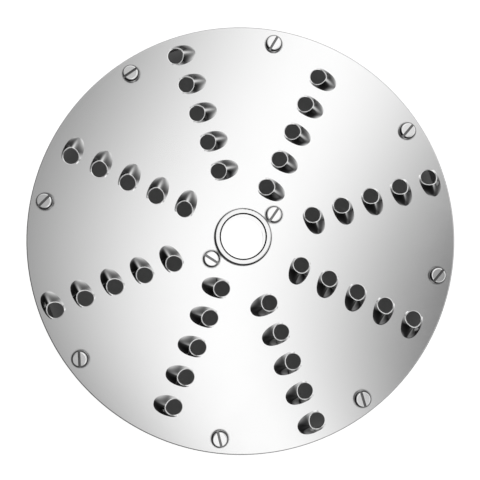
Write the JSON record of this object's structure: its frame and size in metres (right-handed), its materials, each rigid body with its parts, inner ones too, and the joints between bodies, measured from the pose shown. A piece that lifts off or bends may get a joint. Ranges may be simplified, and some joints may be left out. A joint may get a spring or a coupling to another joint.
{
  "type": "food processor shredding disc",
  "caption": "Round stainless shredding plate with pressed scoop teeth, held by slotted screws on a cast aluminium carrier with a bored hub.",
  "frame": {"origin": "on the disc's axis, in the plane of the hub's lower face", "axes": "+Z along the shaft bore, out of the face that carries the teeth; +X along the drive pin slot"},
  "size_m": [0.205, 0.205, 0.022],
  "materials": {
    "plate_stainless": "polished stainless sheet",
    "carrier_aluminium": "cast aluminium, turned bright on the collar",
    "screw_stainless": "bright stainless"
  },
  "bodies": {
    "root": {"shredding_plate": "plate_stainless", "carrier": "carrier_aluminium", "rim_screw_1": "screw_stainless", "rim_screw_2": "screw_stainless", "rim_screw_3": "screw_stainless", "rim_screw_4": "screw_stainless", "rim_screw_5": "screw_stainless", "rim_screw_6": "screw_stainless", "rim_screw_7": "screw_stainless", "rim_screw_8": "screw_stainless", "hub_screw_1": "screw_stainless", "hub_screw_2": "screw_stainless"}
  },
  "joints": []
}
